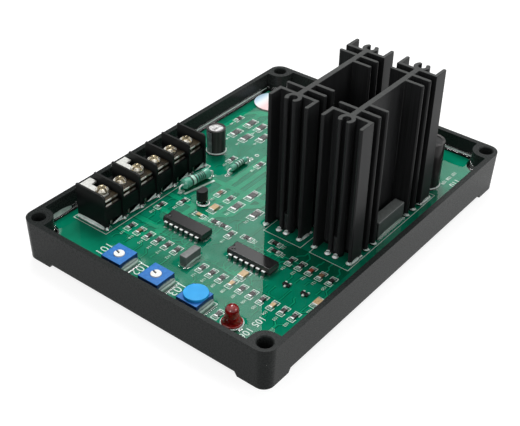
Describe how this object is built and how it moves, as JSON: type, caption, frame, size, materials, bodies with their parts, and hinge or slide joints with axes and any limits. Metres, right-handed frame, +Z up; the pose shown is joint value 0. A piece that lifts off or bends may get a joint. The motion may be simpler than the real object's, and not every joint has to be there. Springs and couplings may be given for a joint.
{
  "type": "automatic voltage regulator",
  "caption": "Generator voltage regulator: potted circuit board in a black tray with tall finned heatsinks, a screw terminal strip, blue trimmers and a red lamp.",
  "frame": {"origin": "centre of the tray's underside in the plane of its feet", "axes": "+X along the tray's long side toward the heatsink end, +Y across toward the terminal strip, +Z up out of the open tray"},
  "size_m": [0.158, 0.116, 0.067],
  "materials": {
    "tray_plastic": "satin moulded",
    "board_green": "solder mask under clear resin",
    "clear_resin": "clear glossy",
    "sticker": "printed film, plain",
    "black_anodised": "black anodised",
    "steel": "zinc plated",
    "tinned": "tinned",
    "block_plastic": "satin moulded",
    "contact_brass": "nickel plated",
    "trimmer_blue": "moulded",
    "rotor_white": "moulded",
    "seal_blue": "smooth",
    "lamp_red": "tinted clear",
    "epoxy_black": "moulded epoxy",
    "can_aluminium": "bright",
    "sleeve_black": "shrunk film",
    "resistor_green": "lacquered, banded",
    "box_grey": "moulded",
    "ceramic_tan": "fired ceramic"
  },
  "bodies": {
    "regulator": {"housing_tray": "tray_plastic", "circuit_board": "board_green", "potting_resin": "clear_resin", "round_sticker": "sticker", "heatsink_1": "black_anodised", "heatsink_2": "black_anodised", "heatsink_screws": "steel", "power_device_1_body": "epoxy_black", "power_device_1_frame": "tinned", "power_device_2_body": "epoxy_black", "power_device_2_frame": "tinned", "device_screws": "steel", "terminal_block": "block_plastic", "terminal_contact_1": "contact_brass", "terminal_contact_2": "contact_brass", "terminal_contact_3": "contact_brass", "terminal_contact_4": "contact_brass", "terminal_contact_5": "contact_brass", "terminal_contact_6": "contact_brass", "clamp_washers": "contact_brass", "terminal_screws": "contact_brass", "tab_lug_1": "tinned", "tab_lug_3": "tinned", "trimmer_1_body": "trimmer_blue", "trimmer_2_body": "trimmer_blue", "trimmer_3_body": "trimmer_blue", "trimmer_3_rotor": "rotor_white", "trimmer_3_seal": "seal_blue", "trimmer_pins": "tinned", "lamp_lens": "lamp_red", "lamp_leads": "tinned", "chip_1_body": "epoxy_black", "chip_1_legs": "tinned", "chip_2_body": "epoxy_black", "chip_2_legs": "tinned", "small_capacitor_can": "can_aluminium", "small_capacitor_sleeve": "sleeve_black", "small_capacitor_leads": "tinned", "tall_capacitor_can": "can_aluminium", "tall_capacitor_sleeve": "sleeve_black", "tall_capacitor_leads": "tinned", "large_resistor_body": "resistor_green", "large_resistor_leads": "tinned", "small_resistor_body": "resistor_green", "small_resistor_leads": "tinned", "transistor_body": "epoxy_black", "transistor_leads": "tinned", "small_box_capacitor": "box_grey", "small_box_leads": "tinned", "large_box_capacitor": "box_grey", "large_box_leads": "tinned", "chip_resistors": "epoxy_black", "chip_capacitors": "ceramic_tan", "chip_transistors": "epoxy_black"},
    "rotor_1": {"trimmer_1_rotor": "rotor_white"},
    "rotor_2": {"trimmer_2_rotor": "rotor_white"}
  },
  "joints": [
    {"name": "trimmer_1_turn", "type": "hinge", "parent": "regulator", "child": "rotor_1", "pos_m": [-0.0685, 0.0174, 0.0145], "axis": [0, 0, 1], "range_deg": [-140, 140]},
    {"name": "trimmer_2_turn", "type": "hinge", "parent": "regulator", "child": "rotor_2", "pos_m": [-0.0685, -0.0005, 0.0145], "axis": [0, 0, 1], "range_deg": [-140, 140]}
  ]
}
